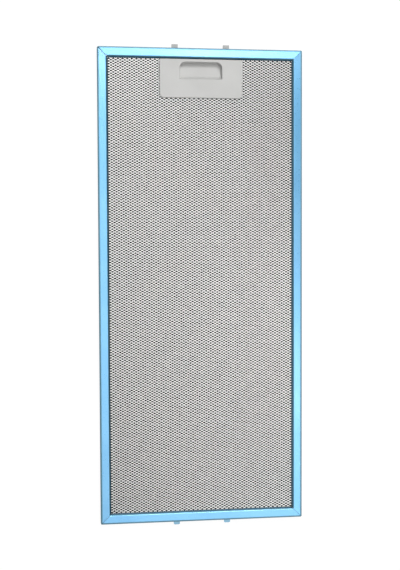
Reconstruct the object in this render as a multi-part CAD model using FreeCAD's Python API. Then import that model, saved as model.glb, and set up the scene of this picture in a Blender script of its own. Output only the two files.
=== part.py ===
"""Cooker hood grease filter: a folded channel frame, two expanded meshes with crimped foil
between them, and a sprung latch with a finger pocket. All sizes are in millimetres.
X runs across the panel, Y runs up to the handle end and Z runs out of the front face."""
import math
import os

import FreeCAD
import Part

Vector = FreeCAD.Vector

# Panel over the folded frame
panel_width = 199.0
panel_length = 460.0
panel_depth = 10.0

# Channel strip of the frame
strip_thickness = 0.5
lip_width = 8.4
lip_bend_radius = 0.9
front_lip_lean = 3.2
curl_radius = 1.1
leg_run = 1.9
leg_angle = 52.0
corner_radius = 1.6
mitre_gap = 0.3
joint_gap = 0.7

# Locating tabs lanced out of the bottom web
tab_spacing = 50.0
tab_width = 6.2
tab_reach = 4.0
tab_tip_radius = 1.3
tab_bend_radius = 0.4
tab_level = 4.6
lance_length = 3.9
lance_clearance = 0.25

# Expanded mesh, long way of the diamonds across the panel
mesh_long_pitch = 4.42
mesh_short_pitch = 2.56
mesh_height = 0.9
mesh_wall = 0.3
mesh_steep_run = 0.5
opening_long = 3.4
opening_short = 1.5
opening_column_cells = 7
opening_row_cells = 9
edge_margin = 12.0

# Crimped foil between the meshes
layer_count = 5
foil_thickness = 0.2
crimp_pitch = 15.0

# Fits of the stacked sheets
sheet_edge_gap = 1.0
seat_gap = 0.05
layer_gap = 0.06

# Finger pocket and its bowl
pocket_width = 41.5
pocket_height = 16.8
pocket_depth = 5.4
pocket_draft = 10.0
pocket_slope_run = 3.0
pocket_upper_radius = 5.8
pocket_lower_radius = 1.0
pocket_top_margin = 2.5
bowl_wall = 1.2

# Handle plate and its slide
plate_gap = 2.3
plate_skin = 1.2
plate_skirt = 1.4
plate_upper_radius = 1.0
plate_lower_radius = 4.2
plate_edge_radius = 0.5
plate_side_cover = 4.0
plate_lower_cover = 7.4
latch_travel = 4.4
slide_clearance = 0.35
rib_wall = 1.2
foot_height = 1.0
rib_end_space = 2.2

# Tongues through the top web
tongue_offset = 3.05
tongue_width = 6.0
tongue_thickness = 2.0
tongue_reach = 4.0
tongue_shoulder = 1.5
tongue_lead = 2.0
tongue_root_length = 11.0
shoulder_gap = 0.2

# Latch base set into the notch of the sheets
spring_bay_width = 12.45
stop_space = 3.0
base_skin = 1.0
base_wall = 1.2
base_fit = 0.4
flange_cover = 3.0
flange_gap = 0.4
rail_width = 1.0
rail_height = 0.9
barb_length = 10.0
barb_reach = 1.3
barb_height = 0.6
barb_tip_height = 0.3

# Latch springs
spring_diameter = 4.0
spring_wire = 0.5
spring_length = 16.0
spring_turns = 7
turn_facets = 9
wire_facets = 6
spring_offset = 4.05
spring_end_gap = 0.1
spring_pin_length = 4.0
spring_pin_gap = 0.35

# Overshoot of the cutting tools, so that no cut ends on a face
cut_margin = 1.0


def box(x_min, x_max, y_min, y_max, z_min, z_max):
    """Block between the given faces."""
    corner = Vector(x_min, y_min, z_min)
    return Part.makeBox(x_max - x_min, y_max - y_min, z_max - z_min, corner)


def prism(points, sweep):
    """Solid swept from a closed polygon along a vector."""
    return Part.Face(Part.makePolygon(points + points[:1])).extrude(sweep)


def both_sides(shape):
    """The shape and its mirror image across the panel's middle."""
    return [shape, shape.mirror(Vector(0, 0, 0), Vector(1, 0, 0))]


def arc_between(start, end, centre):
    """Circular arc, less than half a turn, from start to end about a centre."""
    toward = (start + end) * 0.5 - centre
    middle = centre + toward.normalize() * start.distanceToPoint(centre)
    return Part.Arc(start, middle, end).toShape()


def rounded_outline(half_width, y_min, y_max, lower_radius, upper_radius, z):
    """Outline centred on X with one radius for its lower and one for its upper corners."""
    right = half_width
    edges = []
    low_in = right - lower_radius
    high_in = right - upper_radius
    low_y = y_min + lower_radius
    high_y = y_max - upper_radius
    corners = [
        (Vector(low_in, y_min, z), Vector(right, low_y, z), Vector(low_in, low_y, z)),
        (Vector(right, high_y, z), Vector(high_in, y_max, z), Vector(high_in, high_y, z)),
        (Vector(-high_in, y_max, z), Vector(-right, high_y, z), Vector(-high_in, high_y, z)),
        (Vector(-right, low_y, z), Vector(-low_in, y_min, z), Vector(-low_in, low_y, z)),
    ]
    previous = corners[-1][1]
    for start, end, centre in corners:
        edges.append(Part.makeLine(previous, start))
        if start != end:
            edges.append(arc_between(start, end, centre))
        previous = end
    return Part.Wire(edges)


# The lip ends in a leg that slopes down to the mesh, and the front lip leans out to the web
leg_slope = math.radians(leg_angle)
leg_depth = leg_run * math.tan(leg_slope)
lip_reach = lip_width + leg_run
curl_inset = lip_width - curl_radius * math.tan(leg_slope / 2)
front_lean = math.radians(front_lip_lean)
front_lip_drop = (curl_inset - lip_bend_radius) * math.tan(front_lean)
front_lip_drop += (lip_bend_radius - curl_radius) * (1 / math.cos(front_lean) - 1)
web_low = lip_bend_radius
web_high = panel_depth - front_lip_drop - lip_bend_radius


def strip_section(face):
    """Closed section of the rolled channel, with its web's outer side at x = face."""
    web = face - strip_thickness
    bend = face - lip_bend_radius
    curl = face - curl_inset
    foot = face - lip_reach
    foot_back = foot + strip_thickness / math.sin(leg_slope)
    bend_inside = lip_bend_radius - strip_thickness
    curl_inside = curl_radius - strip_thickness
    edges = []
    for level, inward, lean, drop in ((0, 1, 0, 0), (panel_depth, -1, front_lean, front_lip_drop)):

        def at(x, depth):
            return Vector(x, 0, level + inward * depth)

        def on_bend(radius):
            return at(bend + radius * math.sin(lean), drop + lip_bend_radius - radius * math.cos(lean))

        def on_curl(radius, angle):
            return at(curl + radius * math.sin(angle), curl_radius - radius * math.cos(angle))

        bend_centre = at(bend, drop + lip_bend_radius)
        curl_centre = at(curl, curl_radius)
        edges += [
            arc_between(at(face, drop + lip_bend_radius), on_bend(lip_bend_radius), bend_centre),
            Part.makeLine(on_bend(lip_bend_radius), on_curl(curl_radius, lean)),
            arc_between(on_curl(curl_radius, lean), on_curl(curl_radius, -leg_slope), curl_centre),
            Part.makeLine(on_curl(curl_radius, -leg_slope), at(foot, leg_depth)),
            Part.makeLine(at(foot, leg_depth), at(foot_back, leg_depth)),
            Part.makeLine(at(foot_back, leg_depth), on_curl(curl_inside, -leg_slope)),
            arc_between(on_curl(curl_inside, -leg_slope), on_curl(curl_inside, lean), curl_centre),
            Part.makeLine(on_curl(curl_inside, lean), on_bend(bend_inside)),
            arc_between(on_bend(bend_inside), at(web, drop + lip_bend_radius), bend_centre),
        ]
    for x in (face, web):
        edges.append(Part.makeLine(Vector(x, 0, web_low), Vector(x, 0, web_high)))
    return Part.Face(Part.Wire(Part.__sortEdges__(edges)))


def channel_side(face, half_length):
    """One side of the frame on the +X side, its lips mitred at both ends."""
    side = strip_section(face).extrude(Vector(0, 2 * half_length, 0))
    side.translate(Vector(0, -half_length, 0))
    mitre_back = mitre_gap / math.sqrt(2)
    depth = lip_reach + cut_margin
    outer_end = half_length - mitre_back
    inner_end = outer_end - depth
    plan = [
        Vector(face, -outer_end, 0),
        Vector(face, outer_end, 0),
        Vector(face - depth, inner_end, 0),
        Vector(face - depth, -inner_end, 0),
    ]
    return side.common(prism(plan, Vector(0, 0, panel_depth)))


def corner_trim(z_min, z_max, rounded):
    """Tool for the upper right corner: all of the corner square, or what lies outside its radius."""
    x_in = panel_width / 2 - corner_radius
    y_in = panel_length / 2 - corner_radius
    x_out = panel_width / 2 + cut_margin
    y_out = panel_length / 2 + cut_margin
    block = box(x_in, x_out, y_in, y_out, z_min, z_max)
    if not rounded:
        return block
    return block.cut(Part.makeCylinder(corner_radius, z_max - z_min, Vector(x_in, y_in, z_min)))


def corner_bend():
    """Folded web at the upper right corner, between the two mitred lips."""
    x_in = panel_width / 2 - corner_radius
    y_in = panel_length / 2 - corner_radius
    height = web_high - web_low
    centre = Vector(x_in, y_in, web_low)
    axis = Vector(0, 0, 1)
    outer = Part.makeCylinder(corner_radius, height, centre, axis, 90)
    return outer.cut(Part.makeCylinder(corner_radius - strip_thickness, height, centre, axis, 90))


def at_corner(shape, right, upper):
    """The upper right corner's shape carried to another corner."""
    if not right:
        shape = shape.mirror(Vector(0, 0, 0), Vector(1, 0, 0))
    if not upper:
        shape = shape.mirror(Vector(0, 0, 0), Vector(0, 1, 0))
    return shape


def lanced_tab(middle):
    """Tab cut out of the bottom web and bent straight out, with its bend."""
    web = -panel_length / 2
    bend_outer = tab_bend_radius + strip_thickness
    root = web + strip_thickness - bend_outer
    hinge = tab_level + tab_bend_radius
    left = middle - tab_width / 2
    axis = Vector(1, 0, 0)
    centre = Vector(left, root, hinge)
    bend = Part.makeCylinder(bend_outer, tab_width, centre, axis)
    bend = bend.cut(Part.makeCylinder(tab_bend_radius, tab_width, centre, axis))
    bend = bend.common(box(left, left + tab_width, root, web + strip_thickness, hinge - bend_outer, hinge))
    tip = rounded_outline(tab_width / 2, web - tab_reach, root, tab_tip_radius, 0, 0)
    plate = Part.Face(tip).extrude(Vector(0, 0, strip_thickness))
    plate.translate(Vector(middle, 0, tab_level - strip_thickness))
    return bend.fuse(plate)


# Frame: four mitred channel sides, folded round three corners and closed at the fourth
half_width = panel_width / 2
half_length = panel_length / 2
sides = []
for face, reach, turn in (
    (half_width, half_length, 0),
    (half_length, half_width, 90),
    (half_width, half_length, 180),
    (half_length, half_width, 270),
):
    side = channel_side(face, reach)
    side.rotate(Vector(0, 0, 0), Vector(0, 0, 1), turn)
    sides.append(side)

trims = []
bends = []
for right, upper in ((True, True), (True, False), (False, False)):
    trims.append(at_corner(corner_trim(-cut_margin, web_low, True), right, upper))
    trims.append(at_corner(corner_trim(web_low, web_high, False), right, upper))
    trims.append(at_corner(corner_trim(web_high, panel_depth + cut_margin, True), right, upper))
    bends.append(at_corner(corner_bend(), right, upper))
trims.append(at_corner(corner_trim(-cut_margin, panel_depth + cut_margin, True), False, True))

slit_reach = 2 * lip_reach
joint_slit = box(-joint_gap / 2, joint_gap / 2, -slit_reach, slit_reach, 0, panel_depth)
joint_slit.rotate(Vector(0, 0, 0), Vector(0, 0, 1), 45)
joint_slit.translate(Vector(-half_width, half_length, 0))
trims.append(joint_slit)

tongue_x = pocket_width / 2 + bowl_wall + tongue_offset
tongue_low = (panel_depth - tongue_thickness) / 2
tongue_high = tongue_low + tongue_thickness
slot_half = tongue_width / 2 + slide_clearance
web_inner = half_length - strip_thickness
slot = box(
    tongue_x - slot_half,
    tongue_x + slot_half,
    web_inner - cut_margin,
    half_length + cut_margin,
    tongue_low - slide_clearance,
    tongue_high + slide_clearance,
)
lance_half = tab_width / 2 + lance_clearance
lance = box(
    tab_spacing / 2 - lance_half,
    tab_spacing / 2 + lance_half,
    -half_length - cut_margin,
    -web_inner + cut_margin,
    tab_level + tab_bend_radius - lance_length,
    tab_level + tab_bend_radius,
)
frame = sides[0].fuse(sides[1:])
frame = frame.cut(trims).fuse(bends)
frame = frame.cut(both_sides(slot) + both_sides(lance))
frame = frame.fuse(both_sides(lanced_tab(tab_spacing / 2))).removeSplitter()

# Latch layout, from the pocket outwards and from the plate's top edge down
plate_top = half_length - lip_width - plate_gap
plate_front = panel_depth
plate_back = plate_front - plate_skin
pocket_top = plate_top - pocket_top_margin
pocket_bottom = pocket_top - pocket_height
bay_half = pocket_width / 2 + bowl_wall + spring_bay_width
rail_half = bay_half - rail_width
base_half = bay_half + base_wall
notch_half = base_half + base_fit
plate_half = notch_half + plate_side_cover
bay_bottom = pocket_bottom - bowl_wall - latch_travel - stop_space
base_bottom = bay_bottom - base_wall
notch_bottom = base_bottom - base_fit
plate_bottom = notch_bottom - plate_lower_cover

# Levels of the stacked sheets
rear_crest = leg_depth + seat_gap
front_crest = panel_depth - rear_crest
front_flat = front_crest - mesh_height
rear_flat = rear_crest + mesh_height
sheet_half_width = half_width - strip_thickness - sheet_edge_gap
sheet_half_length = half_length - strip_thickness - sheet_edge_gap
notch = box(-notch_half, notch_half, notch_bottom, half_length, 0, panel_depth)


def expanded_sheet():
    """Front mesh: rows of leaning strands, with staggered diamond openings in their slopes."""
    rows = int(2 * (sheet_half_length - sheet_edge_gap) / mesh_short_pitch)
    first = -rows * mesh_short_pitch / 2
    valley = front_flat + mesh_wall
    outline = [
        Vector(-sheet_half_width, sheet_half_length, valley),
        Vector(-sheet_half_width, sheet_half_length, front_flat),
        Vector(-sheet_half_width, -sheet_half_length, front_flat),
        Vector(-sheet_half_width, -sheet_half_length, valley),
    ]
    for row in range(rows):
        start = first + row * mesh_short_pitch
        outline.append(Vector(-sheet_half_width, start, valley))
        outline.append(Vector(-sheet_half_width, start + mesh_steep_run, front_crest))
    outline.append(Vector(-sheet_half_width, first + rows * mesh_short_pitch, valley))
    sheet = prism(outline, Vector(2 * sheet_half_width, 0, 0))

    column_step = opening_column_cells * mesh_long_pitch
    columns = int((half_width - lip_reach - edge_margin) / column_step)
    row_numbers = range(opening_row_cells // 2, rows, opening_row_cells)
    openings = []
    for order, row in enumerate(row_numbers):
        middle_y = first + row * mesh_short_pitch
        middle_y += (mesh_short_pitch + mesh_steep_run) / 2
        if abs(middle_y) > half_length - lip_reach - edge_margin / 2:
            continue
        shift = column_step / 2 if order % 2 else 0
        for column in range(-columns, columns + 1):
            middle_x = column * column_step + shift
            near_notch = abs(middle_x) < notch_half + opening_long
            if near_notch and middle_y > notch_bottom - opening_short:
                continue
            if abs(middle_x) > half_width - lip_reach - edge_margin / 2:
                continue
            diamond = [
                Vector(middle_x - opening_long / 2, middle_y, 0),
                Vector(middle_x, middle_y - opening_short / 2, 0),
                Vector(middle_x + opening_long / 2, middle_y, 0),
                Vector(middle_x, middle_y + opening_short / 2, 0),
            ]
            openings.append(prism(diamond, Vector(0, 0, panel_depth)))
    return sheet.cut(notch).cut(Part.makeCompound(openings))


def crimped_sheet(low, high, across):
    """Foil folded to a zigzag between two levels, with its folds across or along the panel."""
    reach = sheet_half_length if across else sheet_half_width
    span = sheet_half_width if across else sheet_half_length
    folds = 2 * int(reach / crimp_pitch)
    step = 2 * reach / folds
    lower = []
    for fold in range(folds + 1):
        level = low if fold % 2 else high - foil_thickness
        along = -reach + fold * step
        place = Vector(-span, along, level) if across else Vector(along, -span, level)
        lower.append(place)
    upper = [point + Vector(0, 0, foil_thickness) for point in reversed(lower)]
    sweep = Vector(2 * span, 0, 0) if across else Vector(0, 2 * span, 0)
    return prism(lower + upper, sweep).cut(notch)


# Meshes and foil, stacked from the back
front_mesh = expanded_sheet()
rear_mesh = front_mesh.mirror(Vector(0, 0, panel_depth / 2), Vector(0, 0, 1))
layer_step = (front_flat - rear_flat) / layer_count
layers = []
for layer in range(layer_count):
    layer_low = rear_flat + layer * layer_step + layer_gap / 2
    layer_high = layer_low + layer_step - layer_gap
    layers.append(crimped_sheet(layer_low, layer_high, layer % 2 == 1))


def pocket_wire(depth, grow):
    """Outline of the pocket at a depth below the plate's front, grown by a wall."""
    inset = depth * math.tan(math.radians(pocket_draft))
    rise = depth * pocket_slope_run / pocket_depth
    return rounded_outline(
        pocket_width / 2 - inset + grow,
        pocket_bottom + rise - grow,
        pocket_top - inset + grow,
        pocket_lower_radius + grow,
        pocket_upper_radius - inset + grow,
        plate_front - depth,
    )


# Latch handle: skirted plate, pocket bowl, slide ribs with feet, and two tongues
skirt_low = front_crest + slide_clearance
plate_wire = rounded_outline(
    plate_half, plate_bottom, plate_top, plate_lower_radius, plate_upper_radius, skirt_low
)
plate = Part.Face(plate_wire).extrude(Vector(0, 0, plate_front - skirt_low))
front_edges = [
    edge for edge in plate.Edges
    if all(abs(vertex.Z - plate_front) < seat_gap for vertex in edge.Vertexes)
]
plate = plate.makeFillet(plate_edge_radius, front_edges)
hollow_wire = rounded_outline(
    plate_half - plate_skirt,
    plate_bottom + plate_skirt,
    plate_top - plate_skirt,
    plate_lower_radius - plate_skirt,
    plate_upper_radius / 2,
    skirt_low - cut_margin,
)
hollow = Part.Face(hollow_wire).extrude(Vector(0, 0, plate_back - skirt_low + cut_margin))
bowl_top = pocket_wire(plate_skin / 2, bowl_wall)
bowl_floor = pocket_wire(pocket_depth + bowl_wall, bowl_wall)
bowl = Part.makeLoft([bowl_top, bowl_floor], True, True)
pocket = Part.makeLoft([pocket_wire(-cut_margin, 0), pocket_wire(pocket_depth, 0)], True, True)

base_floor = rear_crest - seat_gap
foot_low = base_floor + slide_clearance
foot_high = foot_low + foot_height
rail_low = foot_high + slide_clearance
rail_high = rail_low + rail_height
rib_outer = rail_half - slide_clearance
foot_outer = bay_half - slide_clearance
root_low = bay_bottom + spring_length
root_high = root_low + tongue_root_length
rib_low = bay_bottom + latch_travel + rib_end_space
rib_section = [
    Vector(rib_outer - rib_wall, rib_low, plate_back + plate_skin / 2),
    Vector(rib_outer - rib_wall, rib_low, foot_low),
    Vector(foot_outer, rib_low, foot_low),
    Vector(foot_outer, rib_low, foot_high),
    Vector(rib_outer, rib_low, foot_high),
    Vector(rib_outer, rib_low, plate_back + plate_skin / 2),
]
rib = prism(rib_section, Vector(0, root_high - rib_low, 0))

shoulder_half = tongue_width / 2 + tongue_shoulder
tongue_tip = half_length + tongue_reach
shoulder_end = web_inner - shoulder_gap
tongue_section = [
    Vector(tongue_x - tongue_width / 2, root_low, tongue_low),
    Vector(tongue_x - tongue_width / 2, tongue_tip - tongue_lead, tongue_low),
    Vector(tongue_x - tongue_width / 2, tongue_tip, tongue_low + tongue_thickness / 2),
    Vector(tongue_x - tongue_width / 2, tongue_tip, tongue_high),
    Vector(tongue_x - tongue_width / 2, root_low, tongue_high),
]
tongue = prism(tongue_section, Vector(tongue_width, 0, 0))
shoulder_left = tongue_x - shoulder_half
shoulder_right = tongue_x + shoulder_half
shoulder = box(shoulder_left, shoulder_right, root_low, shoulder_end, tongue_low, tongue_high)
root = box(shoulder_left, shoulder_right, root_low, root_high, tongue_low, plate_back + plate_skin / 2)

latch_handle = plate.cut(hollow).fuse(
    [bowl] + both_sides(rib) + both_sides(tongue) + both_sides(shoulder) + both_sides(root)
)
latch_handle = latch_handle.cut(pocket).removeSplitter()

# Latch base: rear flange, three walls, slide rails, barbs over the front mesh, spring pins
flange_top = half_length - lip_reach - flange_gap
flange_wire = rounded_outline(
    notch_half + flange_cover,
    notch_bottom - flange_cover,
    flange_top,
    plate_lower_radius,
    plate_upper_radius,
    base_floor - base_skin,
)
flange = Part.Face(flange_wire).extrude(Vector(0, 0, base_skin))
wall_top = front_crest - seat_gap
wall_end = flange_top
side_wall = box(bay_half, base_half, base_bottom, wall_end, base_floor, wall_top)
lower_wall = box(-base_half, base_half, base_bottom, bay_bottom, base_floor, wall_top)
rail = box(rail_half, bay_half, bay_bottom, wall_end, rail_low, rail_high)

barb_low = front_crest + seat_gap
barb_top = barb_low + barb_height
side_barb_start = (bay_bottom + root_low) / 2
side_barb = prism(
    [
        Vector(bay_half, side_barb_start, wall_top - base_wall),
        Vector(bay_half, side_barb_start, barb_top),
        Vector(base_half, side_barb_start, barb_top),
        Vector(base_half + barb_reach, side_barb_start, barb_low + barb_tip_height),
        Vector(base_half + barb_reach, side_barb_start, barb_low),
        Vector(base_half, side_barb_start, barb_low),
        Vector(base_half, side_barb_start, wall_top - base_wall),
    ],
    Vector(0, barb_length, 0),
)
lower_barb_start = tongue_x - barb_length
lower_barb = prism(
    [
        Vector(lower_barb_start, bay_bottom, wall_top - base_wall),
        Vector(lower_barb_start, bay_bottom, barb_top),
        Vector(lower_barb_start, base_bottom, barb_top),
        Vector(lower_barb_start, base_bottom - barb_reach, barb_low + barb_tip_height),
        Vector(lower_barb_start, base_bottom - barb_reach, barb_low),
        Vector(lower_barb_start, base_bottom, barb_low),
        Vector(lower_barb_start, base_bottom, wall_top - base_wall),
    ],
    Vector(barb_length, 0, 0),
)
spring_x = pocket_width / 2 + bowl_wall + spring_offset
spring_level = panel_depth / 2
pin_radius = spring_diameter / 2 - spring_wire - spring_pin_gap
spring_pin = Part.makeCylinder(
    pin_radius, spring_pin_length, Vector(spring_x, bay_bottom, spring_level), Vector(0, 1, 0)
)
latch_base = flange.fuse(
    [lower_wall]
    + both_sides(side_wall)
    + both_sides(rail)
    + both_sides(side_barb)
    + both_sides(lower_barb)
    + both_sides(spring_pin)
).removeSplitter()

# Latch springs: wire coiled along Y between the base's lower wall and the tongue roots
coil_length = spring_length - 2 * spring_end_gap - spring_wire
coil_radius = (spring_diameter - spring_wire) / 2
coil_start = bay_bottom + spring_end_gap + spring_wire / 2
coil_steps = spring_turns * turn_facets
coil_points = []
for step in range(coil_steps + 1):
    angle = 2 * math.pi * step / turn_facets
    coil_points.append(
        Vector(
            spring_x + coil_radius * math.cos(angle),
            coil_start + coil_length * step / coil_steps,
            spring_level + coil_radius * math.sin(angle),
        )
    )
wire_points = []
for side in range(wire_facets):
    angle = 2 * math.pi * side / wire_facets
    outward = Vector(spring_wire / 2 * math.cos(angle), spring_wire / 2 * math.sin(angle), 0)
    wire_points.append(coil_points[0] + outward)
wire_section = Part.makePolygon(wire_points + wire_points[:1])
coil = Part.makePolygon(coil_points).makePipeShell([wire_section], True, False, 1)
spring_right, spring_left = both_sides(coil)

nodes = {
    "frame": frame,
    "front_mesh": front_mesh,
    "rear_mesh": rear_mesh,
    "latch_handle": latch_handle,
    "latch_base": latch_base,
    "latch_spring_left": spring_left,
    "latch_spring_right": spring_right,
}
for number, layer in enumerate(layers, 1):
    nodes["inner_layer_%d" % number] = layer

os.makedirs("parts", exist_ok=True)
for name, shape in nodes.items():
    shape.exportStep("parts/%s.step" % name)
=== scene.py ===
import math
import bmesh
import bpy
from mathutils import Matrix, Vector


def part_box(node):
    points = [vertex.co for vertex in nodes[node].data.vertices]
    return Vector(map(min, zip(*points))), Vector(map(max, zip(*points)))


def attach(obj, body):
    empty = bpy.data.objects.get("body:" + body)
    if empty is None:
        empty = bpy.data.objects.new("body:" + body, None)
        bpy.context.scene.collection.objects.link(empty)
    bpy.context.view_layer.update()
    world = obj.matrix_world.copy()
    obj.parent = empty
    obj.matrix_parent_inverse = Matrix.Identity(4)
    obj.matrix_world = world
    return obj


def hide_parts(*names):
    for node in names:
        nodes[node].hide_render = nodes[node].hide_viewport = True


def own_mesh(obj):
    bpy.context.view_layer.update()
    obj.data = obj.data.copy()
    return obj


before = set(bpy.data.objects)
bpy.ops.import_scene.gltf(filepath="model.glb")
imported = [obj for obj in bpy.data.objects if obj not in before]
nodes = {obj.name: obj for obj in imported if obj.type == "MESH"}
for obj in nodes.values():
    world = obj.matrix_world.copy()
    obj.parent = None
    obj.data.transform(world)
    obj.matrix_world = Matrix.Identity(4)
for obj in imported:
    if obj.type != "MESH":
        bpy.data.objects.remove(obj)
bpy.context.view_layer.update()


# Frame: one aluminium strip laminated with a glossy blue film, rolled to a channel and folded
# round the panel at mitred corners. Painted shade darkens its colour on the outer bends, which
# also get a duller gloss, in the inner folds, most at their ends, and on the two lanced tabs.
def new_material(name):
    material = bpy.data.materials.new(name)
    material.use_nodes = True
    tree = material.node_tree
    shader = tree.nodes["Principled BSDF"]
    coordinates = tree.nodes.new("ShaderNodeTexCoord")
    return material, tree, shader, coordinates.outputs["Object"]


def noise(tree, place, scale, detail=3.0):
    texture = tree.nodes.new("ShaderNodeTexNoise")
    texture.inputs["Scale"].default_value = scale
    texture.inputs["Detail"].default_value = detail
    tree.links.new(place, texture.inputs["Vector"])
    return texture.outputs["Fac"]


def ramp(tree, value, stops):
    node = tree.nodes.new("ShaderNodeValToRGB")
    elements = node.color_ramp.elements
    elements[0].position, elements[0].color = stops[0][0], (*stops[0][1], 1)
    elements[1].position, elements[1].color = stops[-1][0], (*stops[-1][1], 1)
    for position, colour in stops[1:-1]:
        elements.new(position).color = (*colour, 1)
    tree.links.new(value, node.inputs["Fac"])
    return node.outputs["Color"]


def spread(tree, value, low, high):
    node = tree.nodes.new("ShaderNodeMapRange")
    node.inputs["From Min"].default_value = 0.3
    node.inputs["From Max"].default_value = 0.7
    node.inputs["To Min"].default_value = low
    node.inputs["To Max"].default_value = high
    tree.links.new(value, node.inputs["Value"])
    return node.outputs["Result"]


def bump(tree, shader, height, distance, strength):
    node = tree.nodes.new("ShaderNodeBump")
    node.inputs["Distance"].default_value = distance
    node.inputs["Strength"].default_value = strength
    tree.links.new(height, node.inputs["Height"])
    tree.links.new(node.outputs["Normal"], shader.inputs["Normal"])


def split(tree, vector):
    node = tree.nodes.new("ShaderNodeSeparateXYZ")
    tree.links.new(vector, node.inputs[0])
    return node.outputs


def calculate(tree, operation, first, second=0):
    node = tree.nodes.new("ShaderNodeMath")
    node.operation = operation
    for socket, value in zip(node.inputs, (first, second)):
        if isinstance(value, (int, float)):
            socket.default_value = value
        else:
            tree.links.new(value, socket)
    return node.outputs[0]


def fade(tree, value, start, end):
    node = tree.nodes.new("ShaderNodeMapRange")
    node.interpolation_type = "SMOOTHSTEP"
    node.inputs["From Min"].default_value = start
    node.inputs["From Max"].default_value = end
    tree.links.new(value, node.inputs["Value"])
    return node.outputs["Result"]


def blend(tree, share, colour, other):
    node = tree.nodes.new("ShaderNodeMix")
    node.data_type = "RGBA"
    tree.links.new(share, node.inputs["Factor"])
    tree.links.new(colour, node.inputs["A"])
    node.inputs["B"].default_value = (*other, 1)
    return node.outputs["Result"]


def dress(node_name, material):
    node = nodes[node_name]
    node.data.materials.clear()
    node.data.materials.append(material)


frame_half_width = 0.0995
frame_half_length = 0.2300
blue_film, tree, shader, place = new_material("blue_film")
axes = split(tree, place)
past_side = calculate(tree, "SUBTRACT", calculate(tree, "ABSOLUTE", axes["X"]), frame_half_width)
past_end = calculate(tree, "SUBTRACT", calculate(tree, "ABSOLUTE", axes["Y"]), frame_half_length)
past_edge = calculate(tree, "MAXIMUM", past_side, past_end)
# Painted shade on the outer bends, which also get a duller gloss and less coat.
outer_bend = fade(tree, past_edge, -0.0021, -0.0011)
short_of_tabs = fade(tree, past_edge, 0.0006, 0.0002)
shaded_dull_bend = calculate(tree, "MULTIPLY", outer_bend, short_of_tabs)
# Painted shade on the two lanced tabs.
shaded_tabs = fade(tree, past_edge, 0.0002, 0.0006)
# Painted shade in the inner folds.
inner_fold_shade = fade(tree, past_edge, -0.0080, -0.0087)
# Painted shade, darker still, at the ends of the inner folds.
fold_end_shade = fade(tree, past_edge, -0.0088, -0.0100)
film_colour = ramp(tree, noise(tree, place, 22.0, 4.0), [
    (0.30, (0.159, 0.438, 0.726)),
    (0.52, (0.179, 0.473, 0.761)),
    (0.72, (0.200, 0.503, 0.787)),
])
# Blends the painted shade into the film's colour.
for share, painted_shade_colour in (
    (shaded_dull_bend, (0.158, 0.315, 0.403)),
    (shaded_tabs, (0.154, 0.315, 0.429)),
    (inner_fold_shade, (0.120, 0.320, 0.450)),
    (fold_end_shade, (0.030, 0.110, 0.180)),
):
    film_colour = blend(tree, share, film_colour, painted_shade_colour)
tree.links.new(film_colour, shader.inputs["Base Color"])
shader.inputs["Metallic"].default_value = 0.92
film_grain = noise(tree, place, 900.0, 2.0)
film_gloss = spread(tree, film_grain, 0.27, 0.36)
dull_bend = calculate(tree, "MULTIPLY", shaded_dull_bend, 0.3)
tree.links.new(calculate(tree, "ADD", film_gloss, dull_bend), shader.inputs["Roughness"])
tree.links.new(calculate(tree, "SUBTRACT", 1.0, shaded_dull_bend), shader.inputs["Coat Weight"])
shader.inputs["Coat Roughness"].default_value = 0.15
bump(tree, shader, film_grain, 0.00004, 0.2)
dress("frame", blue_film)


# Front mesh: aluminium sheet slit and stretched to diamonds, the long way across the panel.
# Each bond carries two strands up to its neighbours, and every strand leans like a louvre.
# The sheet's edges are pressed flat in the frame's channel.
def bond_unit(name, pitch, bond, depth, lean):
    half_long, half_short = pitch[0] / 2, pitch[1] / 2
    bond_long, bond_short = bond
    back = Vector((0, 0, 0))
    left = Vector((-bond_long, 0, depth - lean / 2))
    right = Vector((bond_long, 0, depth - lean / 2))
    top = Vector((0, bond_short, depth))
    bottom = Vector((0, -bond_short, depth - lean))
    up_right = Vector((half_long, half_short, 0))
    up_left = Vector((-half_long, half_short, 0))
    points = [back, left, right, top, bottom]
    points += [up_right + back, up_right + left, up_right + bottom]
    points += [up_left + back, up_left + right, up_left + bottom]
    bond_face = (1, 4, 2, 3)
    right_strand = [(0, 3, 6, 5), (0, 5, 7, 2), (3, 2, 7, 6)]
    left_strand = [(0, 8, 9, 3), (0, 1, 10, 8), (3, 9, 10, 1)]
    mesh = bpy.data.meshes.new(name)
    mesh.from_pydata(points, [], [bond_face] + right_strand + left_strand)
    unit = bpy.data.objects.new(name, mesh)
    bpy.context.collection.objects.link(unit)
    return unit


def named_tree(name, inputs):
    tree = bpy.data.node_groups.new(name, "GeometryNodeTree")
    tree.interface.new_socket("Geometry", in_out="INPUT", socket_type="NodeSocketGeometry")
    for label, kind in inputs:
        tree.interface.new_socket(label, in_out="INPUT", socket_type="NodeSocket" + kind)
    tree.interface.new_socket("Geometry", in_out="OUTPUT", socket_type="NodeSocketGeometry")
    return tree, tree.nodes.new("NodeGroupInput").outputs


def paint_and_end(tree, geometry, material):
    paint = tree.nodes.new("GeometryNodeSetMaterial")
    tree.links.new(geometry, paint.inputs["Geometry"])
    tree.links.new(material, paint.inputs["Material"])
    tree.links.new(paint.outputs["Geometry"], tree.nodes.new("NodeGroupOutput").inputs["Geometry"])


def grow(name, tree, settings):
    piece = bpy.data.objects.new(name, bpy.data.meshes.new(name + "_seed"))
    bpy.context.collection.objects.link(piece)
    modifier = piece.modifiers.new("pattern", "NODES")
    modifier.node_group = tree
    for item in tree.interface.items_tree:
        if item.in_out == "INPUT" and item.name in settings:
            modifier[item.identifier] = settings[item.name]
    evaluated = piece.evaluated_get(bpy.context.evaluated_depsgraph_get())
    finished = bpy.data.meshes.new_from_object(evaluated)
    piece.modifiers.remove(modifier)
    piece.data = finished
    return piece


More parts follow.
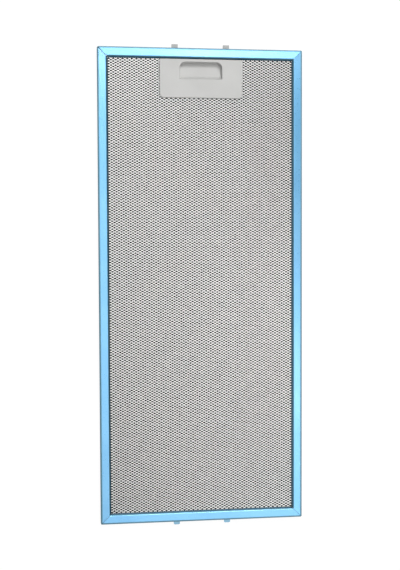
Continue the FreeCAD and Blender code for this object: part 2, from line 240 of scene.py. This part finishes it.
def lattice_tree(name):
    tree, given = named_tree(name, [
        ("Bond", "Object"),
        ("Long pitch", "Float"),
        ("Short pitch", "Float"),
        ("Columns", "Int"),
        ("Rows", "Int"),
        ("Notch half width", "Float"),
        ("Notch floor", "Float"),
        ("Unevenness", "Float"),
        ("Material", "Material"),
    ])
    add = tree.nodes.new
    link = tree.links.new
    join = add("GeometryNodeJoinGeometry")
    for less in (1, 0):
        grid = add("GeometryNodeMeshGrid")
        columns = calculate(tree, "SUBTRACT", given["Columns"], less)
        rows = calculate(tree, "SUBTRACT", given["Rows"], less)
        across = calculate(tree, "MULTIPLY", calculate(tree, "SUBTRACT", columns, 1), given["Long pitch"])
        along = calculate(tree, "MULTIPLY", calculate(tree, "SUBTRACT", rows, 1), given["Short pitch"])
        link(columns, grid.inputs["Vertices X"])
        link(rows, grid.inputs["Vertices Y"])
        link(across, grid.inputs["Size X"])
        link(along, grid.inputs["Size Y"])
        link(grid.outputs["Mesh"], join.inputs["Geometry"])

    spot = split(tree, add("GeometryNodeInputPosition").outputs["Position"])
    from_middle = calculate(tree, "ABSOLUTE", spot["X"])
    beside = calculate(tree, "LESS_THAN", from_middle, given["Notch half width"])
    above = calculate(tree, "GREATER_THAN", spot["Y"], given["Notch floor"])
    cut = add("GeometryNodeDeleteGeometry")
    link(join.outputs["Geometry"], cut.inputs["Geometry"])
    link(calculate(tree, "MULTIPLY", beside, above), cut.inputs["Selection"])

    unit = add("GeometryNodeObjectInfo")
    link(given["Bond"], unit.inputs["Object"])
    place_units = add("GeometryNodeInstanceOnPoints")
    link(cut.outputs["Geometry"], place_units.inputs["Points"])
    link(unit.outputs["Geometry"], place_units.inputs["Instance"])
    realize = add("GeometryNodeRealizeInstances")
    link(place_units.outputs["Instances"], realize.inputs["Geometry"])
    weld = add("GeometryNodeMergeByDistance")
    weld.inputs["Distance"].default_value = 0.00002
    link(realize.outputs["Geometry"], weld.inputs["Geometry"])

    uneven = add("ShaderNodeTexNoise")
    uneven.inputs["Scale"].default_value = 260.0
    uneven.inputs["Detail"].default_value = 1.0
    link(add("GeometryNodeInputPosition").outputs["Position"], uneven.inputs["Vector"])
    centred = add("ShaderNodeVectorMath")
    centred.operation = "SUBTRACT"
    link(uneven.outputs["Color"], centred.inputs[0])
    centred.inputs[1].default_value = (0.5, 0.5, 0.5)
    scaled = add("ShaderNodeVectorMath")
    scaled.operation = "SCALE"
    link(centred.outputs[0], scaled.inputs[0])
    link(given["Unevenness"], scaled.inputs["Scale"])
    shift = add("GeometryNodeSetPosition")
    link(weld.outputs["Geometry"], shift.inputs["Geometry"])
    link(scaled.outputs[0], shift.inputs["Offset"])
    paint_and_end(tree, shift.outputs["Geometry"], given["Material"])
    return tree


def close_cut_ends(shape):
    cut_ends = [edge for edge in shape.edges if edge.is_boundary]
    for cap in bmesh.ops.holes_fill(shape, edges=cut_ends, sides=4)["faces"]:
        corners = cap.verts[:]
        if len(corners) == 4 and shape.edges.get((corners[0], corners[2])):
            bmesh.utils.face_split(cap, corners[1], corners[3])
        elif len(corners) == 4 and shape.edges.get((corners[1], corners[3])):
            bmesh.utils.face_split(cap, corners[0], corners[2])


def add_plate(shape, outline, under, over):
    below = [shape.verts.new((x, y, under)) for x, y in outline]
    above = [shape.verts.new((x, y, over)) for x, y in outline]
    shape.faces.new(below[::-1])
    shape.faces.new(above)
    for index in range(len(outline)):
        shape.faces.new((below[index - 1], below[index], above[index], above[index - 1]))


lattice = lattice_tree("expanded_lattice")


def expanded_sheet(name, node_name, pitch, count, bond, depth, lean, uneven, material, facing):
    low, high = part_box(node_name)
    notch_half_width = 0.0362
    notch_floor = 0.1895
    open_half_width = 0.0917
    open_half_length = 0.2222
    pressed_thickness = 0.0003
    unit = bond_unit(name + "_bond", pitch, bond, depth, lean)
    sheet = grow(name, lattice, {
        "Bond": unit,
        "Long pitch": pitch[0],
        "Short pitch": pitch[1],
        "Columns": count[0],
        "Rows": count[1],
        "Notch half width": notch_half_width,
        "Notch floor": notch_floor,
        "Unevenness": uneven,
        "Material": material,
    })
    bpy.data.objects.remove(unit)

    shape = bmesh.new()
    shape.from_mesh(sheet.data)
    close_cut_ends(shape)
    if facing > 0:
        bmesh.ops.translate(shape, verts=shape.verts, vec=(0, 0, high[2] - depth - uneven / 2))
    else:
        bmesh.ops.scale(shape, verts=shape.verts, vec=(1, 1, -1))
        bmesh.ops.translate(shape, verts=shape.verts, vec=(0, 0, low[2] + depth + uneven / 2))
        bmesh.ops.reverse_faces(shape, faces=shape.faces)
    pressed_edge = [
        (low[0], low[1]),
        (high[0], low[1]),
        (high[0], high[1]),
        (notch_half_width, high[1]),
        (notch_half_width, open_half_length),
        (open_half_width, open_half_length),
        (open_half_width, -open_half_length),
        (-open_half_width, -open_half_length),
        (-open_half_width, open_half_length),
        (-notch_half_width, open_half_length),
        (-notch_half_width, high[1]),
        (low[0], high[1]),
    ]
    mid_height = (low[2] + high[2]) / 2
    add_plate(shape, pressed_edge, mid_height - pressed_thickness / 2, mid_height + pressed_thickness / 2)
    shape.to_mesh(sheet.data)
    shape.free()
    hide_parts(node_name)
    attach(sheet, "panel")
    return sheet


mesh_aluminium, tree, shader, place = new_material("mesh_aluminium")
mesh_tone = ramp(tree, noise(tree, place, 300.0), [
    (0.30, (0.936, 0.964, 0.942)),
    (0.55, (0.954, 0.982, 0.960)),
    (0.75, (0.972, 1.000, 0.978)),
])
tree.links.new(mesh_tone, shader.inputs["Base Color"])
shader.inputs["Metallic"].default_value = 1.0
mesh_scuff = noise(tree, place, 1400.0, 2.0)
tree.links.new(spread(tree, mesh_scuff, 0.29, 0.33), shader.inputs["Roughness"])
bump(tree, shader, mesh_scuff, 0.00004, 0.2)

mesh_cell = {
    "pitch": (0.00442, 0.00256),
    "count": (42, 174),
    "bond": (0.00034, 0.00025),
    "depth": 0.00082,
    "lean": 0.00007,
    "uneven": 0.00002,
    "material": mesh_aluminium,
}
front_mesh = expanded_sheet("front_mesh_sheet", "front_mesh", facing=1, **mesh_cell)


# Rear mesh: the same expanded aluminium sheet on the hood's side of the panel, turned round
# so that its strands face the back. The same channel holds its pressed edges.
rear_mesh = expanded_sheet("rear_mesh_sheet", "rear_mesh", facing=-1, **mesh_cell)


# Inner layers: thin aluminium foil, slit, stretched and crimped, laid loose between the two
# meshes. The outer layers show through the openings and the middle one stops the light. Their
# tone is painted shade, set much darker than bare foil, because the photo's openings read nearly black.
foil_aluminium, tree, shader, place = new_material("foil_aluminium")
# Painted shade: the foil's tone is set nearly black.
shaded_foil_tone = ramp(tree, noise(tree, place, 140.0, 4.0), [
    (0.35, (0.016, 0.016, 0.017)),
    (0.55, (0.028, 0.028, 0.029)),
    (0.70, (0.050, 0.050, 0.051)),
])
tree.links.new(shaded_foil_tone, shader.inputs["Base Color"])
shader.inputs["Metallic"].default_value = 1.0
foil_crease = noise(tree, place, 500.0)
tree.links.new(spread(tree, foil_crease, 0.40, 0.60), shader.inputs["Roughness"])
bump(tree, shader, foil_crease, 0.0002, 0.4)

foil_cell = {
    "bond": (0.0011, 0.0008),
    "depth": 0.0003,
    "lean": 0.0002,
    "uneven": 0.0002,
    "material": foil_aluminium,
}
for layer, layer_pitch, layer_count, facing in (
    ("inner_layer_5", (0.0071, 0.0040), (27, 113), 1),
    ("inner_layer_4", (0.0067, 0.0044), (28, 103), 1),
    ("inner_layer_2", (0.0067, 0.0044), (28, 103), -1),
    ("inner_layer_1", (0.0071, 0.0040), (27, 113), -1),
):
    foil = expanded_sheet(
        layer + "_foil", layer, pitch=layer_pitch, count=layer_count, facing=facing, **foil_cell)
dress("inner_layer_3", foil_aluminium)


# Latch base: grey moulding snapped into the panel's notch from behind, with a fine matt
# spark-eroded texture. The handle is of the same plastic, with painted shade on the ends of its
# tongues, so the base's material holds that tone too.
tongue_shade_start = 0.2294
tongue_shade_full = 0.2306
grey_plastic, tree, shader, place = new_material("grey_plastic")
plastic_tone = ramp(tree, noise(tree, place, 35.0), [
    (0.30, (0.497, 0.497, 0.487)),
    (0.70, (0.534, 0.534, 0.523)),
])
# Painted shade on the ends of the handle's tongues.
shaded_tongue_ends = fade(tree, split(tree, place)["Y"], tongue_shade_start, tongue_shade_full)
plastic_tone = blend(tree, shaded_tongue_ends, plastic_tone, (0.410, 0.412, 0.406))
tree.links.new(plastic_tone, shader.inputs["Base Color"])
plastic_grain = noise(tree, place, 2600.0, 2.0)
tree.links.new(spread(tree, plastic_grain, 0.46, 0.60), shader.inputs["Roughness"])
shader.inputs["Specular IOR Level"].default_value = 0.4
bump(tree, shader, plastic_grain, 0.00004, 0.25)
dress("latch_base", grey_plastic)


# Latch springs: two compression coils of drawn steel wire, held between the latch base and
# the handle. They push the handle up, so that its tongues stand out of the frame.
spring_steel, tree, shader, place = new_material("spring_steel")
wire_tone = ramp(tree, noise(tree, place, 700.0, 2.0), [
    (0.30, (0.42, 0.42, 0.43)),
    (0.70, (0.60, 0.60, 0.61)),
])
tree.links.new(wire_tone, shader.inputs["Base Color"])
shader.inputs["Metallic"].default_value = 1.0
tree.links.new(spread(tree, noise(tree, place, 2500.0, 2.0), 0.22, 0.36), shader.inputs["Roughness"])

coil_tree, given = named_tree("spring_coil", [
    ("Coil radius", "Float"),
    ("Wire radius", "Float"),
    ("Length", "Float"),
    ("Turns", "Float"),
    ("Material", "Material"),
])
spiral = coil_tree.nodes.new("GeometryNodeCurveSpiral")
spiral.inputs["Resolution"].default_value = 24
for label, socket in (
    ("Turns", "Rotations"),
    ("Coil radius", "Start Radius"),
    ("Coil radius", "End Radius"),
    ("Length", "Height"),
):
    coil_tree.links.new(given[label], spiral.inputs[socket])
wire = coil_tree.nodes.new("GeometryNodeCurvePrimitiveCircle")
wire.inputs["Resolution"].default_value = 8
coil_tree.links.new(given["Wire radius"], wire.inputs["Radius"])
tube = coil_tree.nodes.new("GeometryNodeCurveToMesh")
tube.inputs["Fill Caps"].default_value = True
coil_tree.links.new(spiral.outputs["Curve"], tube.inputs["Curve"])
coil_tree.links.new(wire.outputs["Curve"], tube.inputs["Profile Curve"])
realize = coil_tree.nodes.new("GeometryNodeRealizeInstances")
coil_tree.links.new(tube.outputs["Mesh"], realize.inputs["Geometry"])
paint_and_end(coil_tree, realize.outputs["Geometry"], given["Material"])

wire_radius = 0.00025
for side in ("left", "right"):
    low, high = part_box("latch_spring_" + side)
    spring = grow("spring_coil_" + side, coil_tree, {
        "Coil radius": (high[0] - low[0]) / 2 - wire_radius,
        "Wire radius": wire_radius,
        "Length": high[1] - low[1] - 2 * wire_radius,
        "Turns": 7.0,
        "Material": spring_steel,
    })
    middle = Vector(((low[0] + high[0]) / 2, high[1] - wire_radius, (low[2] + high[2]) / 2))
    spring.data.transform(Matrix.Translation(middle) @ Matrix.Rotation(math.radians(90), 4, "X"))
    spring.data.shade_smooth()
    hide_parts("latch_spring_" + side)
    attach(spring, "panel")
    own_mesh(spring)


# Latch handle: grey moulding with the finger pocket and the two tongues, in the same plastic
# as its base. It slides on the base's rails.
dress("latch_handle", grey_plastic)


# Table: a white sheet under the filter. The camera and the gloss see it white, and it keeps
# the filter's shadow.
bpy.ops.mesh.primitive_plane_add(size=6.0, location=(0, 0, -0.0002))
table = bpy.context.object
table.name = "table"
white_table, tree, shader = new_material("white_table")[:3]
shader.inputs["Base Color"].default_value = (0.9, 0.9, 0.9, 1)
shader.inputs["Roughness"].default_value = 0.9
glow = tree.nodes.new("ShaderNodeEmission")
glow.inputs["Strength"].default_value = 1.05
path = tree.nodes.new("ShaderNodeLightPath")
seen = path.outputs["Is Camera Ray"]
for ray in ("Is Glossy Ray", "Is Transmission Ray"):
    seen = calculate(tree, "MAXIMUM", seen, path.outputs[ray])
mix = tree.nodes.new("ShaderNodeMixShader")
tree.links.new(calculate(tree, "MULTIPLY", seen, 0.9), mix.inputs["Fac"])
tree.links.new(shader.outputs["BSDF"], mix.inputs[1])
tree.links.new(glow.outputs["Emission"], mix.inputs[2])
tree.links.new(mix.outputs["Shader"], tree.nodes["Material Output"].inputs["Surface"])
table.data.materials.append(white_table)


# Light: a room with pale walls, a wide overhead softbox, the main lamp beyond the handle to
# the right, and four small lamps that give the frame's upper, left and right lips a sheen.
wall_top = 0.42
wall_foot = 0.04
wall_strength = 0.80
room_strength = 0.10
world = bpy.data.worlds.new("soft_room")
bpy.context.scene.world = world
world.use_nodes = True
tree = world.node_tree
backdrop = tree.nodes["Background"]
backdrop.inputs["Color"].default_value = (1, 1, 1, 1)
heading = split(tree, tree.nodes.new("ShaderNodeTexCoord").outputs["Object"])
pale_wall = calculate(tree, "MULTIPLY", fade(tree, heading["Z"], wall_top, wall_foot), wall_strength)
tree.links.new(calculate(tree, "ADD", pale_wall, room_strength), backdrop.inputs["Strength"])
for name, spot, size, power in (
    ("overhead_softbox", (0.27, -0.46, 1.6), (1.35, 2.2), 14.4),
    ("main_lamp", (0.30, 1.25, 1.46), (0.6, 0.6), 22.7),
    ("upper_sheen", (0.14, 0.72, 1.5), (0.50, 0.14), 0.75),
    ("left_sheen", (-0.32, 0.56, 1.5), (0.20, 0.26), 1.16),
    ("far_right_sheen", (0.71, 0.62, 1.5), (0.20, 0.26), 0.35),
    ("right_sheen", (0.71, -0.36, 1.5), (0.20, 0.50), 0.58),
):
    light = bpy.data.lights.new(name, "AREA")
    light.shape = "RECTANGLE"
    light.size, light.size_y = size
    light.energy = power
    lamp = bpy.data.objects.new(name, light)
    bpy.context.collection.objects.link(lamp)
    lamp.location = spot
    lamp.rotation_euler = (Vector((0, 0, 0)) - Vector(spot)).to_track_quat("-Z", "Y").to_euler()


# Camera: above the panel, a little to the left of its middle, as the photograph was taken.
# Its stand-off is measured from the middle of the panel's front, in the camera's own axes.
camera_data = bpy.data.cameras.new("camera")
camera_data.sensor_width = 36.0
camera_data.lens = 58.1
camera_data.clip_end = 20.0
camera = bpy.data.objects.new("camera", camera_data)
bpy.context.collection.objects.link(camera)
yaw, pitch, roll = math.radians(7.09), math.radians(2.44), math.radians(0.22)
turn = Matrix.Rotation(roll, 3, "Z") @ Matrix.Rotation(pitch, 3, "X") @ Matrix.Rotation(yaw, 3, "Y")
turn_back = turn.transposed()
stand_off = Vector((-0.0018, 0.0020, 0.894))
panel_front = Vector((0, 0, 0.0100))
camera.matrix_world = Matrix.Translation(turn_back @ stand_off + panel_front) @ turn_back.to_4x4()
bpy.context.scene.camera = camera
bpy.context.scene.view_settings.view_transform = "Standard"
